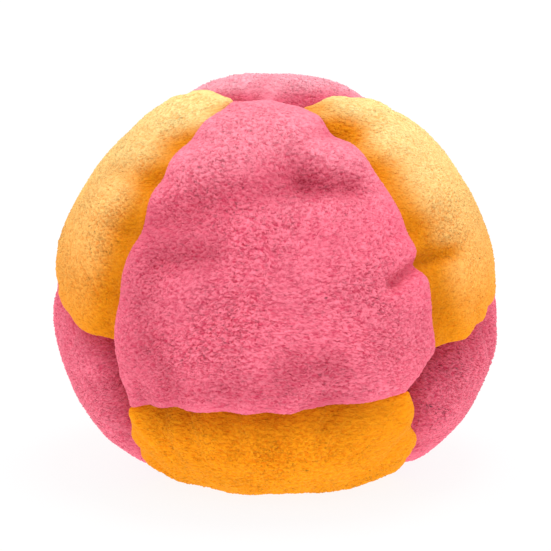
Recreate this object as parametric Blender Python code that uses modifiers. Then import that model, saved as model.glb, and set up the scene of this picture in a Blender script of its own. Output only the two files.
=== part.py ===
"""Hand-sewn footbag: eight suede panels, their eighteen stitched seams and the filling.

Four large panels and four triangular ones close into a ball. Each panel is a skin of suede
whose edge rolls over and turns in as a seam allowance. Two allowances lie face to face under
every seam, and one running thread passes through needle holes in both of them. The bag has
settled on the table under its filling, so it is a little wider than it is tall, and flat
where it rests. Handling has left soft hollows in the front panel.
"""

import math

import bmesh
import bpy
from mathutils import Vector

MM = 0.001

# The settled ball
BALL_RADIUS = 26.9 * MM
CENTRE_HEIGHT = 23.0 * MM
TABLE_BLEND = 2.1 * MM
SAG_SHARE = 0.072
SPREAD_SHARE = -0.03
TAPER_SHARE = -0.056

# The suede and its turned-in edge
SUEDE_THICKNESS = 0.9 * MM
CROWN_RISE = 0.45 * MM
HOLLOW_DEPTH = 1.2 * MM
SHOULDER_DROP = 0.3 * MM
EDGE_ROLL = 1.2 * MM
SEAM_ALLOWANCE = 3.0 * MM
SEAM_GAP = 0.32 * MM

# The stitches
STITCH_PITCH = 6.0 * MM
STITCH_DEPTH = 1.4 * MM
THREAD_RADIUS = 0.3 * MM
NEEDLE_HOLE_RADIUS = 0.62 * MM
THREAD_CLEARANCE = 0.3 * MM
THREAD_CORNER = 0.35 * MM
PUCKER_DEPTH = 0.35 * MM
PUCKER_REACH_SHARE = 0.4
KNOT_SWELL_SHARE = 1.6
CUT_OVERRUN = 0.5 * MM
PIN_SIDES = 6

# The filling
FILLING_CLEARANCE = 0.32 * MM

# How the ball is turned: the front panel faces the viewer, who looks down on it a little
VIEW_ELEVATION = math.radians(15.0)
VIEW_AXIS = Vector((0.0, -math.cos(VIEW_ELEVATION), math.sin(VIEW_ELEVATION)))
VIEW_RIGHT = Vector((1.0, 0.0, 0.0))
VIEW_UP = VIEW_RIGHT.cross(-VIEW_AXIS)

# Where the panels' corners lie on the ball: degrees off the view axis, and degrees around it,
# counted anticlockwise from the viewer's right
CORNERS = {
    "front_top_left": (63.5, 103.5),
    "front_top_right": (60.0, 81.0),
    "front_right_upper": (51.5, 337.0),
    "front_right_lower": (54.5, 321.5),
    "front_left_lower": (59.5, 219.5),
    "front_left_upper": (54.5, 201.5),
    "left_far": (120.0, 153.0),
    "right_far": (120.0, 27.0),
    "base_far": (122.0, 270.0),
    "back_left": (137.0, 156.0),
    "back_right": (137.0, 24.0),
    "back_under": (137.0, 270.0),
}

# Each seam joins two corners and two panels. Its middle bows by so many degrees towards the
# first of the two panels, which is the large one where the two differ.
SEAMS = (
    ("front_top_left", "front_left_upper", "front", "left", 1.5),
    ("front_top_right", "front_right_upper", "front", "right", -3.0),
    ("front_left_lower", "front_right_lower", "front", "base", 9.0),
    ("front_top_left", "front_top_right", "front", "top", 0.0),
    ("front_right_upper", "front_right_lower", "front", "lower_right", 0.0),
    ("front_left_upper", "front_left_lower", "front", "lower_left", 0.0),
    ("front_top_left", "left_far", "top", "left", 4.0),
    ("front_top_right", "right_far", "top", "right", 2.0),
    ("front_left_upper", "left_far", "lower_left", "left", 4.5),
    ("front_right_upper", "right_far", "lower_right", "right", 7.5),
    ("front_left_lower", "base_far", "lower_left", "base", 5.5),
    ("front_right_lower", "base_far", "lower_right", "base", 5.0),
    ("back_left", "back_right", "top", "back", 6.0),
    ("back_left", "back_under", "lower_left", "back", 6.0),
    ("back_right", "back_under", "lower_right", "back", 6.0),
    ("left_far", "back_left", "top", "lower_left", 0.0),
    ("right_far", "back_right", "top", "lower_right", 0.0),
    ("base_far", "back_under", "lower_left", "lower_right", 0.0),
)
LARGE_PANELS = ("front", "top", "lower_left", "lower_right")
TRIANGLE_PANELS = ("left", "right", "base", "back")
HOLLOWED_PANEL = "front"

# The front panel's hollows and ridges as the viewer sees them: the two ends of a stroke and
# its half-width as shares of the ball's radius, right and up, and how deep it is as a share of
# the hollows' depth, less than 0 for a ridge
HOLLOW_SHARES = (
    ((0.14, 0.48), (0.36, 0.44), 0.10, 0.9),
    ((0.11, 0.64), (0.44, 0.58), 0.10, -0.4),
    ((-0.57, 0.22), (0.07, 0.47), 0.12, 0.75),
    ((-0.50, 0.42), (-0.07, 0.64), 0.12, -0.3),
    ((-0.62, 0.08), (-0.28, 0.08), 0.11, 0.7),
    ((0.64, 0.08), (0.50, -0.06), 0.08, 0.6),
    ((0.09, -0.30), (0.30, -0.28), 0.10, 0.6),
    ((-0.57, -0.48), (0.00, -0.49), 0.10, 0.4),
)

# Rings of the crowned face, as shares of the way from a panel's middle to its rolled edge, and
# closer ones where the face has hollows
FACE_RING_SHARES = (0.0, 0.42, 0.78)
HOLLOWED_RING_SHARES = (0.0, 0.18, 0.36, 0.52, 0.67, 0.82)
LEAST_STITCHES = 2
MERGE_DISTANCE = 0.00001 * MM


def clear_scene():
    for old in list(bpy.data.objects):
        bpy.data.objects.remove(old)


def new_collection(name):
    collection = bpy.data.collections.new(name)
    bpy.context.scene.collection.children.link(collection)
    return collection


def suede_or_thread(name, colour, roughness, sheen):
    """A Principled material, all cloth-like and without metal."""
    material = bpy.data.materials.new(name)
    material.use_nodes = True
    shader = material.node_tree.nodes["Principled BSDF"]
    shader.inputs["Base Color"].default_value = (*colour, 1.0)
    shader.inputs["Roughness"].default_value = roughness
    shader.inputs["Metallic"].default_value = 0.0
    shader.inputs["Sheen Weight"].default_value = sheen
    material.diffuse_color = (*colour, 1.0)
    return material


# Directions on the ball


def corner_direction(name):
    off_axis, around = (math.radians(angle) for angle in CORNERS[name])
    sideways = VIEW_RIGHT * math.cos(around) + VIEW_UP * math.sin(around)
    return VIEW_AXIS * math.cos(off_axis) + sideways * math.sin(off_axis)


def panel_middle(panel):
    """The direction of a panel's middle, the mean of its corners."""
    corners = {end for seam in SEAMS if panel in seam[2:4] for end in seam[:2]}
    total = Vector((0.0, 0.0, 0.0))
    for corner in sorted(corners):
        total += corner_direction(corner)
    return total.normalized()


def seam_direction(seam, share):
    """The direction of a point of the seam, a share of the way along it."""
    start_name, end_name, first_panel, _, bow = seam
    start, end = corner_direction(start_name), corner_direction(end_name)
    across = start.cross(end).normalized()
    if across.dot(panel_middle(first_panel)) < 0.0:
        across = -across
    straight = (start + end).normalized()
    middle = straight * math.cos(math.radians(bow)) + across * math.sin(math.radians(bow))
    handle = 2.0 * middle - (start + end) / 2.0
    rest = 1.0 - share
    return (start * rest**2 + handle * (2.0 * share * rest) + end * share**2).normalized()


def seam_tangent(seam, share):
    step = 0.001
    ahead = seam_direction(seam, share + step)
    return (ahead - seam_direction(seam, share - step)).normalized()


def seam_inward(seam, share, panel):
    """The unit vector along the ball, square to the seam and into the panel."""
    inward = seam_direction(seam, share).cross(seam_tangent(seam, share)).normalized()
    return inward if inward.dot(panel_middle(panel)) > 0.0 else -inward


def stitch_count(seam):
    angle = sum(
        seam_direction(seam, share / 8).angle(seam_direction(seam, (share + 1) / 8))
        for share in range(8)
    )
    return max(int(LEAST_STITCHES), int(round(angle * BALL_RADIUS / STITCH_PITCH)))


# The ball's surface


def ball_radius(direction, lift):
    """From the ball's centre to its outer surface, pressed flat where it meets the table."""
    lean = -direction.z
    shape = 1.0 + SAG_SHARE * lean + SPREAD_SHARE * lean**2 + TAPER_SHARE * lean**3
    free = BALL_RADIUS * shape + lift
    if lean <= 0.0:
        return free
    table = CENTRE_HEIGHT / lean
    blend = max(TABLE_BLEND - abs(free - table), 0.0) / TABLE_BLEND
    return min(free, table) - blend**2 * TABLE_BLEND / 4.0


def surface_point(direction, lift, depth):
    """A point so deep under the outer surface, in the part's frame, with the table at z 0."""
    point = direction * (ball_radius(direction, lift) - depth)
    return point + Vector((0.0, 0.0, CENTRE_HEIGHT))


def beside_seam(direction, inward, offset, lift, depth):
    """A point beside a seam, at an offset that stays the same as the depth grows."""
    turned = (direction + inward * (offset / (BALL_RADIUS - depth))).normalized()
    return surface_point(turned, lift, depth)


# The outline of a panel


def outline_seams(panel):
    """The panel's seams in order around it, anticlockwise from outside, each with its sense."""
    left = [seam for seam in SEAMS if panel in seam[2:4]]
    middle = panel_middle(panel)
    first = left.pop(0)
    start, end = corner_direction(first[0]), corner_direction(first[1])
    forward = start.cross(end).dot(middle) > 0.0
    chain = [(first, forward)]
    corner = first[1] if forward else first[0]
    while left:
        following = next(seam for seam in left if corner in seam[:2])
        left.remove(following)
        forward = following[0] == corner
        chain.append((following, forward))
        corner = following[1] if forward else following[0]
    return chain


def outline_columns(panel, steps_per_stitch):
    """Points around the panel's edge: (direction, inward vector, pull of the stitch, 0 to 1)."""
    chain = outline_seams(panel)
    columns = []
    for index, (seam, forward) in enumerate(chain):
        before, before_forward = chain[index - 1]
        steps = stitch_count(seam) * steps_per_stitch
        for step in range(steps):
            share = step / steps if forward else 1.0 - step / steps
            inward = seam_inward(seam, share, panel)
            pull = float(step % steps_per_stitch)
            if step == 0:
                other = seam_inward(before, 1.0 if before_forward else 0.0, panel)
                inward = (inward + other) / (1.0 + inward.dot(other))
                pull = 1.0
            columns.append((seam_direction(seam, share), inward, pull))
    return columns


def wrapped_sheet(mesh, columns, rings, coarse_rings, place):
    """A grid wrapped round a panel, its first row drawn together at the panel's middle.

    In the coarse rings next to the middle, every other column joins the one before it.
    """
    before = set(mesh.verts)
    bmesh.ops.create_grid(mesh, x_segments=len(columns), y_segments=rings, size=0.5)
    for vertex in set(mesh.verts) - before:
        column = round((vertex.co.x + 0.5) * len(columns)) % len(columns)
        ring = round((vertex.co.y + 0.5) * rings)
        if ring < coarse_rings:
            column -= column % 2
        vertex.co = place(columns[column], ring)


def close_sheet(mesh):
    bmesh.ops.remove_doubles(mesh, verts=mesh.verts, dist=MERGE_DISTANCE)
    bmesh.ops.dissolve_degenerate(mesh, edges=mesh.edges, dist=MERGE_DISTANCE)
    bmesh.ops.recalc_face_normals(mesh, faces=mesh.faces)


def ring_shares(panel):
    return HOLLOWED_RING_SHARES if panel == HOLLOWED_PANEL else FACE_RING_SHARES


def hollow_depth(direction):
    """How deep the hollowed panel's face lies under its crown in this direction."""
    seen = Vector((direction.dot(VIEW_RIGHT), direction.dot(VIEW_UP)))
    deep = 0.0
    for start, end, half_width, strength in HOLLOW_SHARES:
        start = Vector(start)
        along = Vector(end) - start
        share = min(max((seen - start).dot(along) / along.length_squared, 0.0), 1.0)
        away = (seen - start - along * share).length / half_width
        deep += strength * math.exp(-(away**2))
    return HOLLOW_DEPTH * deep


def face_point(panel, column, share, depth):
    """A point of the crowned face, a share of the way from its middle to its rolled edge."""
    direction, inward, pull = column
    edge = (direction + inward * ((SEAM_GAP / 2.0 + EDGE_ROLL) / BALL_RADIUS)).normalized()
    towards = panel_middle(panel).slerp(edge, share)
    pucker = PUCKER_DEPTH * pull * max(share - 1.0 + PUCKER_REACH_SHARE, 0.0) / PUCKER_REACH_SHARE
    rise = CROWN_RISE
    if panel == HOLLOWED_PANEL:
        rise -= hollow_depth(towards)
    lift = rise - (rise + SHOULDER_DROP) * share**4 - pucker
    return surface_point(towards, lift, depth)


def roll_point(column, turn):
    """A point of the rolled edge, which has turned by an angle from the face into the seam."""
    direction, inward, pull = column
    offset = SEAM_GAP / 2.0 + EDGE_ROLL - EDGE_ROLL * math.sin(turn)
    depth = EDGE_ROLL - EDGE_ROLL * math.cos(turn)
    lift = -SHOULDER_DROP - PUCKER_DEPTH * pull * math.cos(turn)
    return beside_seam(direction, inward, offset, lift, depth)


def allowance_point(column, depth):
    direction, inward, _ = column
    return beside_seam(direction, inward, SEAM_GAP / 2.0, -SHOULDER_DROP, depth)


def panel_skin(panel):
    """The outer surface of a panel: its face, its rolled edge and its turned-in allowance."""
    shares = ring_shares(panel)
    faces = len(shares)

    def place(column, ring):
        if ring < faces:
            return face_point(panel, column, shares[ring], 0.0)
        turns = (0.0, math.pi / 4.0, math.pi / 2.0)
        if ring < faces + len(turns):
            return roll_point(column, turns[ring - faces])
        return allowance_point(column, EDGE_ROLL + SEAM_ALLOWANCE)

    mesh = bmesh.new()
    wrapped_sheet(mesh, outline_columns(panel, 2), faces + 3, faces - 1, place)
    close_sheet(mesh)
    return mesh


def object_from(mesh, name, collection, material):
    data = bpy.data.meshes.new(name)
    mesh.to_mesh(data)
    mesh.free()
    made = bpy.data.objects.new(name, data)
    collection.objects.link(made)
    if material:
        data.materials.append(material)
    return made


def faces_outward(mesh):
    """Whether an open skin's faces look away from the ball's centre."""
    centre = Vector((0.0, 0.0, CENTRE_HEIGHT))
    looks = sum(
        face.normal.dot(face.calc_center_median() - centre) * face.calc_area()
        for face in mesh.faces
    )
    return looks > 0.0


def make_panel(panel, needle_holes, collection, material):
    """A panel of suede: the skin given its thickness inward, then pierced by the needle."""
    mesh = panel_skin(panel)
    if not faces_outward(mesh):
        bmesh.ops.reverse_faces(mesh, faces=mesh.faces)
    made = object_from(mesh, f"{panel}_panel", collection, material)
    made.data.shade_smooth()
    wall = made.modifiers.new("suede thickness", "SOLIDIFY")
    wall.thickness = SUEDE_THICKNESS
    wall.offset = -1.0
    wall.use_even_offset = True
    pierced = made.modifiers.new("needle holes", "BOOLEAN")
    pierced.operation = "DIFFERENCE"
    pierced.solver = "EXACT"
    pierced.object = needle_holes
    return made


# The stitches


def stitch_shares(seam):
    count = stitch_count(seam)
    return [(index + 0.5) / count for index in range(count)]


def stitch_frame(seam, share):
    """The point of the seam's middle plane at the stitches' depth, with the way across it."""
    direction = seam_direction(seam, share)
    depth = EDGE_ROLL + STITCH_DEPTH
    point = surface_point(direction, -SHOULDER_DROP, depth)
    return point, seam_inward(seam, share, seam[2]), seam_tangent(seam, share)


def make_needle_holes(collection):
    """One cutter with a pin through both allowances at every stitch."""
    mesh = bmesh.new()
    one_side = SUEDE_THICKNESS + CUT_OVERRUN
    pin_length = one_side + SEAM_GAP + one_side
    for seam in SEAMS:
        for share in stitch_shares(seam):
            point, across, _ = stitch_frame(seam, share)
            turn = across.to_track_quat("Z", "Y").to_matrix().to_4x4()
            turn.translation = point
            bmesh.ops.create_cone(
                mesh,
                cap_ends=True,
                segments=PIN_SIDES,
                radius1=NEEDLE_HOLE_RADIUS,
                radius2=NEEDLE_HOLE_RADIUS,
                depth=pin_length,
                matrix=turn,
            )
    cutter = object_from(mesh, "needle_pins", collection, None)
    cutter.hide_render = True
    cutter.display_type = "WIRE"
    return cutter


def thread_path(seam):
    """The running stitch: across at each needle hole, then along the allowance to the next."""
    swing = SEAM_GAP / 2.0 + SUEDE_THICKNESS + THREAD_CLEARANCE + THREAD_RADIUS
    points = []
    side = 1.0
    for share in stitch_shares(seam):
        point, across, along = stitch_frame(seam, share)
        for sense in (side, -side):
            outer = point + across * (swing * sense)
            inner = point + across * ((swing - THREAD_CORNER) * sense)
            shift = along * (THREAD_CORNER * (-1.0 if sense == side else 1.0))
            points += [outer + shift, inner] if sense == side else [inner, outer + shift]
        side = -side
    return points


def make_thread(seam, collection, material):
    curve = bpy.data.curves.new(f"thread_{seam[2]}_to_{seam[3]}", "CURVE")
    curve.dimensions = "3D"
    curve.bevel_depth = THREAD_RADIUS
    curve.bevel_resolution = 1
    curve.use_fill_caps = True
    path = thread_path(seam)
    spline = curve.splines.new("POLY")
    spline.points.add(len(path) - 1)
    for spline_point, place in zip(spline.points, path):
        spline_point.co = (*place, 1.0)
    spline.points[0].radius = KNOT_SWELL_SHARE
    spline.points[-1].radius = KNOT_SWELL_SHARE
    curve.materials.append(material)
    made = bpy.data.objects.new(curve.name, curve)
    collection.objects.link(made)
    return made


# The filling


def make_filling(collection, material):
    """The packed pellets as one body, grooved where the allowances and threads hang into it."""
    face_depth = SUEDE_THICKNESS + FILLING_CLEARANCE
    groove_depth = EDGE_ROLL + SEAM_ALLOWANCE + FILLING_CLEARANCE
    thread_reach = SEAM_GAP / 2.0 + SUEDE_THICKNESS + THREAD_CLEARANCE + 2.0 * THREAD_RADIUS
    knot_reach = THREAD_RADIUS * KNOT_SWELL_SHARE - THREAD_RADIUS
    groove_half = thread_reach + knot_reach + FILLING_CLEARANCE
    shoulder = groove_half + EDGE_ROLL / 2.0
    mesh = bmesh.new()
    for panel in LARGE_PANELS + TRIANGLE_PANELS:
        shares = ring_shares(panel)
        faces = len(shares)

        def place(column, ring, panel=panel, shares=shares, faces=faces):
            direction, inward, _ = column
            if ring < faces:
                return face_point(panel, column, shares[ring], face_depth)
            lift = -SHOULDER_DROP - PUCKER_DEPTH
            offsets = (shoulder, groove_half, 0.0)
            depths = (face_depth, groove_depth, groove_depth)
            step = ring - faces
            return beside_seam(direction, inward, offsets[step], lift, depths[step])

        wrapped_sheet(mesh, outline_columns(panel, 1), faces + 2, 0, place)
    close_sheet(mesh)
    return object_from(mesh, "pellet_filling", collection, material)


def main():
    clear_scene()
    footbag = new_collection("footbag")
    cutters = new_collection("cutters")
    pink = suede_or_thread("suede_pink", (0.80, 0.13, 0.20), 0.92, 0.4)
    orange = suede_or_thread("suede_orange", (0.95, 0.36, 0.03), 0.92, 0.4)
    waxed = suede_or_thread("waxed_thread", (0.62, 0.10, 0.15), 0.6, 0.0)
    pellets = suede_or_thread("plastic_pellets", (0.78, 0.77, 0.73), 0.45, 0.0)

    needle_holes = make_needle_holes(cutters)
    for panel in LARGE_PANELS:
        make_panel(panel, needle_holes, footbag, pink)
    for panel in TRIANGLE_PANELS:
        make_panel(panel, needle_holes, footbag, orange)
    for seam in SEAMS:
        make_thread(seam, footbag, waxed)
    make_filling(footbag, pellets)


main()
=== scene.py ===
"""A hand-sewn footbag: eight napped suede panels, gathered seams, waxed threads and pellets.

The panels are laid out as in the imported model. Each one is a cage of cloth that is blown up a
little by the filling, subdivided, and given its matted nap as real ridges. Lengths are metres.
"""

import math
import random
from typing import NamedTuple

import bmesh
import bpy
import numpy as np
from mathutils import Matrix, Vector, noise


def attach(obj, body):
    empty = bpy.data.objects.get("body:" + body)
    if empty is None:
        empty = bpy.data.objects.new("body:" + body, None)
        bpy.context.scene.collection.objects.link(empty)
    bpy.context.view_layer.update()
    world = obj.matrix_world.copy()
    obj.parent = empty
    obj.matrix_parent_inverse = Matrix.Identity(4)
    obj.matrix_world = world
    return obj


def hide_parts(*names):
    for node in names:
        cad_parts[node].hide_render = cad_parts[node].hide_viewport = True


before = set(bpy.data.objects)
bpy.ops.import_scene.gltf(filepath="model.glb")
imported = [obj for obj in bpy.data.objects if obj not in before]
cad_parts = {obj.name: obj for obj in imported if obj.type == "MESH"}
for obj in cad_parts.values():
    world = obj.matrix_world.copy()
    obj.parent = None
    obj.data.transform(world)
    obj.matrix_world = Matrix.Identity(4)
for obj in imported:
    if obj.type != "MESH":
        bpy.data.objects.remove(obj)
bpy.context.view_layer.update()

bl_info = {
    "name": "Hand-sewn footbag",
    "version": (1, 0, 0),
    "blender": (4, 5, 0),
    "location": "3D View > Sidebar > Footbag",
    "description": "Suede panels, sewn seams, pellet filling and a white studio for a footbag",
    "category": "Add Mesh",
}

MM = 0.001
BODY = "root"

# The settled ball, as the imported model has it
VIEW_ELEVATION = math.radians(15.0)
VIEW_AXIS = Vector((0.0, -math.cos(VIEW_ELEVATION), math.sin(VIEW_ELEVATION)))
VIEW_RIGHT = Vector((1.0, 0.0, 0.0))
VIEW_UP = VIEW_RIGHT.cross(-VIEW_AXIS)
SAG_SHARE = 0.072
SPREAD_SHARE = -0.03
TAPER_SHARE = -0.056

# The seams: the room between two rolled edges, and how finely a seam is measured
SEAM_GAP = 0.1 * MM
TANGENT_STEP = 0.001
LENGTH_PIECES = 8
EDGE_SAMPLES = 240

# The stitches: how far one may stand off its even place, as a share of the pitch, and between
# which limits its strength and its reach are drawn
STITCH_PITCH = 6.0 * MM
LEAST_STITCHES = 2
STITCH_DRIFT = 0.16
PULL_STRENGTHS = (0.55, 1.25)
PULL_REACHES = (0.7, 1.4)
UPPER_PUCKER_SHARE = 0.3
LAP_PULL_SHARE = 0.55
CORNER_LAP_SHARE = 0.5

# A panel's cage. Below a share of the way outwards, so many columns of cells join into one, so
# that the cells stay about square
COLUMNS_PER_STITCH = 12
COLUMN_MERGES = ((0.12, 12), (0.3, 4), (0.56, 2))
FACE_RING_STEP = 0.54 * MM
ROLL_TURNS = 3
BACK_RINGS = 5
BACK_MERGE = 4
BACK_REACH_SHARE = 0.86
SUBDIVISIONS = 2
RUMPLE_SHIFT = 9.0
CALM_RINGS = 3.0
# How deep a dip makes the cloth count as sunk; sunk cloth is painted darker, as painted shade in
# folds and seam valleys
SUNK_DIP = 1.6 * MM
WELD_DIGITS = 7

# The cloth is simulated ten times as large, because the solver works in metres
CLOTH_SCALE = 10.0
CLOTH_FRAMES = 20
CLOTH_SETTINGS = {
    "quality": 5,
    "mass": 0.3,
    "tension_stiffness": 15.0,
    "compression_stiffness": 15.0,
    "shear_stiffness": 5.0,
    "bending_stiffness": 0.6,
    "vertex_group_mass": "held",
    "pin_stiffness": 1.0,
    "shrink_min": -0.03,
    "use_pressure": True,
    "uniform_pressure_force": 4.0,
}

# The nap's ridges: how the noise that they follow is stirred and combed, and for each kind
# how steep its walls are and how high it stands, as a share of the ridges' height
NAP_SEED_STEP = 5.0
NAP_STIR = (1.8, 1.8, 1.8)
NAP_COMB = (0.45, 0.9, 1.2)
LUMP_STEEPNESS, LUMP_SHARE = 5.0, 0.35
CURL_STEEPNESS, CURL_SHARE = 11.0, 0.8
CREASE_STEEPNESS, CREASE_SHARE = 9.0, -0.45
ROUGH_PATCHES_PER_METRE = 110.0
ROUGH_CONTRAST, ROUGH_OFFSET, LEAST_ROUGH = 2.0, -0.1, 0.5
CALM_SHARE = 0.75

# The suede's look. Its fibres lie about 0.05 mm apart, which is too fine to show, so they are
# drawn as coarse as they need to show
FIBRE_SPACING = 0.42 * MM
FIBRE_BUMP = 0.28 * MM
FIBRE_COMB = (0.5, 0.8, 1.2)
DYE_PATCHES_PER_METRE = 140.0
PATCH_RANGE = (0.3, 0.7)
PATCH_BRIGHTNESS = (0.92, 1.06)
# The nap's colour runs from painted shade between its ridges and fibres up to the dye on them
RIDGE_RANGE, RIDGE_SHARE = (-0.5, 0.5), 0.7
FIBRE_RANGE, FIBRE_SHARE = (0.34, 0.5), 0.36
# How far sunk cloth in folds, seam valleys and rolled edges is painted towards the folds' painted
# shade
FOLD_SHADE_SHARE = 0.72
# How much of the painted highlight also pales the painted shade between the ridges
ROOT_HIGHLIGHT_SHARE = 0.4

# A painted highlight, standing in for light from above, makes the nap paler on high ground: from
# this height up, and nowhere sunk deeper than this
HIGHLIGHT_SHARE = 0.75
HIGHLIGHT_TOP = 46.0 * MM
PINK_HIGHLIGHT_FROM = 36.0 * MM
ORANGE_HIGHLIGHT_FROM = 20.0 * MM
UNHIGHLIT_SUNK_SHARE = 0.6

# The threads: their twist's pitch is given in thread radii
THREAD_STEPS = 8
THREAD_END = 2.5 * MM
THREAD_SQUARENESS = 1.6
PLY_TWIST = 6.0
PLY_SIDES = 6

# The pellets: how far apart they lie, in pellet radii, how far they may turn, and between
# which shares of their radius they may be flattened
PELLET_SPACING = 1.9
PELLETS_PER_SQUARE_METRE = 900000.0
PELLET_TURN = (6.28, 6.28, 6.28)
PELLET_LEAST = (0.85, 0.85, 0.6)
PELLET_MOST = (1.0, 1.0, 0.85)
BED_SUBDIVISIONS = 5

# The studio. The paper partly glows, so that it stays white, and the floor and the room throw
# a little more light than white has, which a colour needs to come out as it is written
PHOTO_PIXELS = 551
PHOTO_CENTRE = (275.5, 284.0)
PIXELS_PER_METRE = 8148.0
CAMERA_DISTANCE = 0.9
SENSOR_WIDTH_IN_MM = 36.0
WHITE = (1.0, 1.0, 1.0, 1.0)
PAPER_WHITE = (0.9, 0.9, 0.9, 1.0)
PAPER_SIZE = 1.5
PAPER_GLOW_SHARE = 0.88
FLOOR_BOUNCE = 1.38
ROOM_GLOW = {"From Min": 0.25, "From Max": 0.97, "To Min": 1.25, "To Max": 1.0}
SOFTBOX_PLACE = Vector((0.06, 0.02, 0.5))
SOFTBOX_AIM = Vector((0.0, 0.0, 0.024))
SOFTBOX_SIZE = 0.2
SOFTBOX_POWER = 0.7

# The kinds of node that are used most
MATH = "ShaderNodeMath"
VECTORS = "ShaderNodeVectorMath"
NOISE = "ShaderNodeTexNoise"
RANGE = "ShaderNodeMapRange"

# Where the panels' corners lie: degrees off the view axis, and degrees around it,
# anticlockwise from the viewer's right
CORNERS = {
    "front_top_left": (64.5, 103.0),
    "front_top_right": (60.4, 82.0),
    "front_right_upper": (51.7, 336.6),
    "front_right_lower": (48.5, 319.7),
    "front_left_lower": (59.0, 220.7),
    "front_left_upper": (51.2, 201.5),
    "left_far": (120.0, 153.0),
    "right_far": (120.0, 27.0),
    "base_far": (122.0, 270.0),
    "back_left": (137.0, 156.0),
    "back_right": (137.0, 24.0),
    "back_under": (137.0, 270.0),
}

# Each seam joins two corners and two panels, and its middle bows by so many degrees towards
# the first of the two
SEAMS = (
    ("front_top_left", "front_left_upper", "front", "left", 0.5),
    ("front_top_right", "front_right_upper", "front", "right", -0.4),
    ("front_left_lower", "front_right_lower", "front", "base", 6.2),
    ("front_top_left", "front_top_right", "front", "top", 0.0),
    ("front_right_upper", "front_right_lower", "front", "lower_right", 0.0),
    ("front_left_upper", "front_left_lower", "front", "lower_left", 0.0),
    ("front_top_left", "left_far", "top", "left", 4.0),
    ("front_top_right", "right_far", "top", "right", 2.0),
    ("front_left_upper", "left_far", "lower_left", "left", 3.5),
    ("front_right_upper", "right_far", "lower_right", "right", 5.0),
    ("front_left_lower", "base_far", "lower_left", "base", 4.5),
    ("front_right_lower", "base_far", "lower_right", "base", 10.0),
    ("back_left", "back_right", "top", "back", 6.0),
    ("back_left", "back_under", "lower_left", "back", 6.0),
    ("back_right", "back_under", "lower_right", "back", 6.0),
    ("left_far", "back_left", "top", "lower_left", 0.0),
    ("right_far", "back_right", "top", "lower_right", 0.0),
    ("base_far", "back_under", "lower_left", "lower_right", 0.0),
)
# How far along itself a seam's bow leans, as a share of the seam
BOW_LEAN_SHARES = {("front", "base"): -0.28}
LARGE_PANELS = ("front", "top", "lower_left", "lower_right")
TRIANGLE_PANELS = ("left", "right", "base", "back")

# How full the filling lies behind a panel, as a share of the crown, and how strongly its nap is
# painted paler on its upper parts, away from the seams, as a painted highlight for light from
# above.
# At a seam, the panel that comes earlier here laps over the other
FULL_AND_HIGHLIGHT = {
    "front": (1.5, 0.6),
    "left": (0.3, 1.3),
    "right": (0.6, 1.5),
    "base": (-0.3, 0.0),
    "top": (0.2, 1.45),
    "lower_left": (0.8, 0.6),
    "lower_right": (1.7, 0.6),
    "back": (1.0, 0.7),
}
LAP_ORDER = tuple(FULL_AND_HIGHLIGHT)


class Lap(NamedTuple):
    """How two panels lap at a seam: the dip of the lower edge and the overhang of the upper."""

    tuck_share: float = 0.25
    width_share: float = 1.0
    fade_to_second: float = 0.0
    fade_to_first: float = 0.0
    lap_share: float = 1.0


LAPS = {
    ("front", "left"): Lap(0.7, fade_to_first=0.5),
    ("front", "right"): Lap(0.7, fade_to_first=0.5),
    ("front", "base"): Lap(3.7, 0.6, 0.6, 0.6, 0.45),
    ("front", "top"): Lap(0.12, lap_share=0.4),
    ("front", "lower_right"): Lap(2.1, 0.7),
    ("front", "lower_left"): Lap(1.2, 0.65),
    ("lower_left", "base"): Lap(1.6, 0.55, 7.0, lap_share=1.6),
    ("lower_right", "base"): Lap(2.0, 0.65, 6.0, lap_share=2.0),
    ("lower_left", "left"): Lap(1.8, 0.5, 4.0, lap_share=1.3),
    ("lower_right", "right"): Lap(2.2, 0.75, 4.0, lap_share=1.4),
    ("top", "left"): Lap(1.1, 0.5, 7.0),
    ("top", "right"): Lap(1.1, 0.6, 6.0),
}

# Hollows and ridges that handling has left, as the viewer sees them: the panel, the two ends
# of a stroke and its half-width as shares of the ball's radius, right and up, and its depth
HOLLOW_SHARES = (
    ("front", (0.13, 0.475), (0.36, 0.45), 0.065, 1.5 * MM),
    ("front", (0.2, 0.6), (0.44, 0.55), 0.08, -0.5 * MM),
    ("front", (-0.56, 0.27), (0.12, 0.49), 0.12, 1.2 * MM),
    ("front", (-0.505, 0.42), (-0.07, 0.64), 0.12, -0.3 * MM),
    ("front", (-0.52, 0.1), (-0.3, 0.13), 0.075, 1.2 * MM),
    ("front", (-0.1, 0.3), (0.25, 0.26), 0.12, -0.4 * MM),
    ("front", (0.665, 0.1), (0.54, 0.0), 0.03, 1.3 * MM),
    ("front", (0.67, 0.02), (0.56, -0.06), 0.04, -0.4 * MM),
    ("front", (0.08, -0.36), (0.27, -0.35), 0.08, 0.8 * MM),
    ("front", (0.36, -0.27), (0.48, -0.24), 0.08, -0.5 * MM),
    ("front", (-0.56, -0.28), (-0.53, -0.46), 0.1, 0.6 * MM),
    ("front", (-0.6, 0.06), (-0.61, -0.26), 0.1, 0.5 * MM),
    ("front", (-0.45, -0.46), (0.1, -0.47), 0.07, 0.6 * MM),
    ("front", (0.13, -0.55), (0.27, -0.5), 0.035, 0.8 * MM),
    ("front", (0.02, -0.55), (0.12, -0.5), 0.04, -0.35 * MM),
    ("left", (-0.25, 0.88), (-0.43, 0.86), 0.12, -0.75 * MM),
    ("top", (-0.2, 0.96), (-0.4, 0.9), 0.12, -0.35 * MM),
    ("lower_left", (-0.64, -0.72), (-0.72, -0.68), 0.1, -0.3 * MM),
    ("right", (0.67, 0.105), (0.83, 0.15), 0.035, 0.9 * MM),
    ("base", (-0.55, -0.82), (-0.35, -0.9), 0.12, 0.2 * MM),
)

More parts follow.
